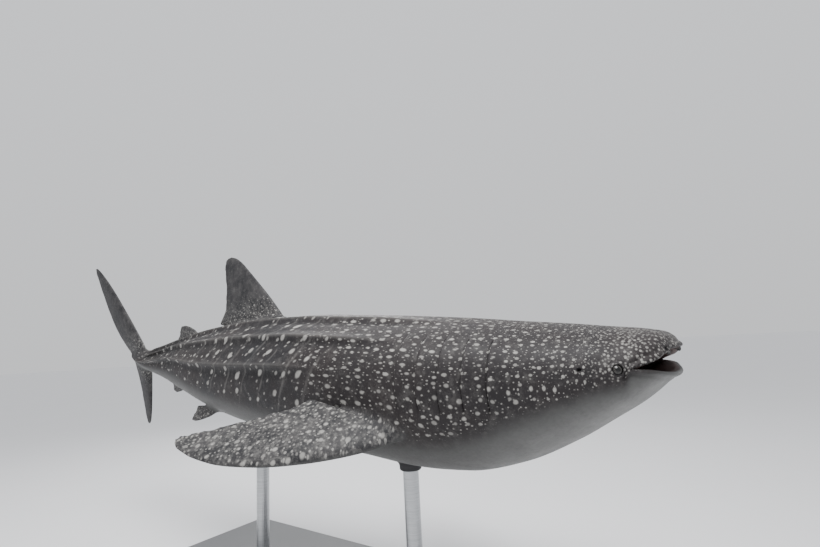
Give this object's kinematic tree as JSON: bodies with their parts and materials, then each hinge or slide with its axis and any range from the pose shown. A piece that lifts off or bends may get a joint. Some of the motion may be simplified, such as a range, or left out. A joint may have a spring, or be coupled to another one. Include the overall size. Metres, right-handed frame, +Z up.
{
  "type": "whale shark display model",
  "caption": "Whale shark as a still, life-size display model: broad flat head with open mouth, ridged back, long swept fins, held level on a stand.",
  "frame": {"origin": "centre of the underside of the stand's base, on the floor below the front half of the body", "axes": "+X towards the snout, +Y to the animal's left, +Z up"},
  "size_m": [7.2, 2.3726, 3.2473],
  "materials": {
    "skin": "satin dark grey hide with pale spots and bars above, pale below",
    "eye": "dark glossy eye",
    "stand": "satin dark grey paint",
    "stand_rod": "brushed steel"
  },
  "bodies": {
    "root": {"head": "skin", "lower_jaw": "skin", "gill_section": "skin", "trunk_front": "skin", "trunk_rear": "skin", "tail_base": "skin", "tail_stalk": "skin", "caudal_fin_upper": "skin", "caudal_fin_lower": "skin", "first_dorsal_fin": "skin", "second_dorsal_fin": "skin", "anal_fin": "skin", "pectoral_fin_right": "skin", "pectoral_fin_left": "skin", "pelvic_fin_right": "skin", "pelvic_fin_left": "skin", "eye_right": "eye", "eye_left": "eye", "stand_base": "stand", "stand_flange_front": "stand_rod", "stand_flange_rear": "stand_rod", "stand_rod_front": "stand_rod", "stand_rod_rear": "stand_rod"}
  },
  "joints": []
}
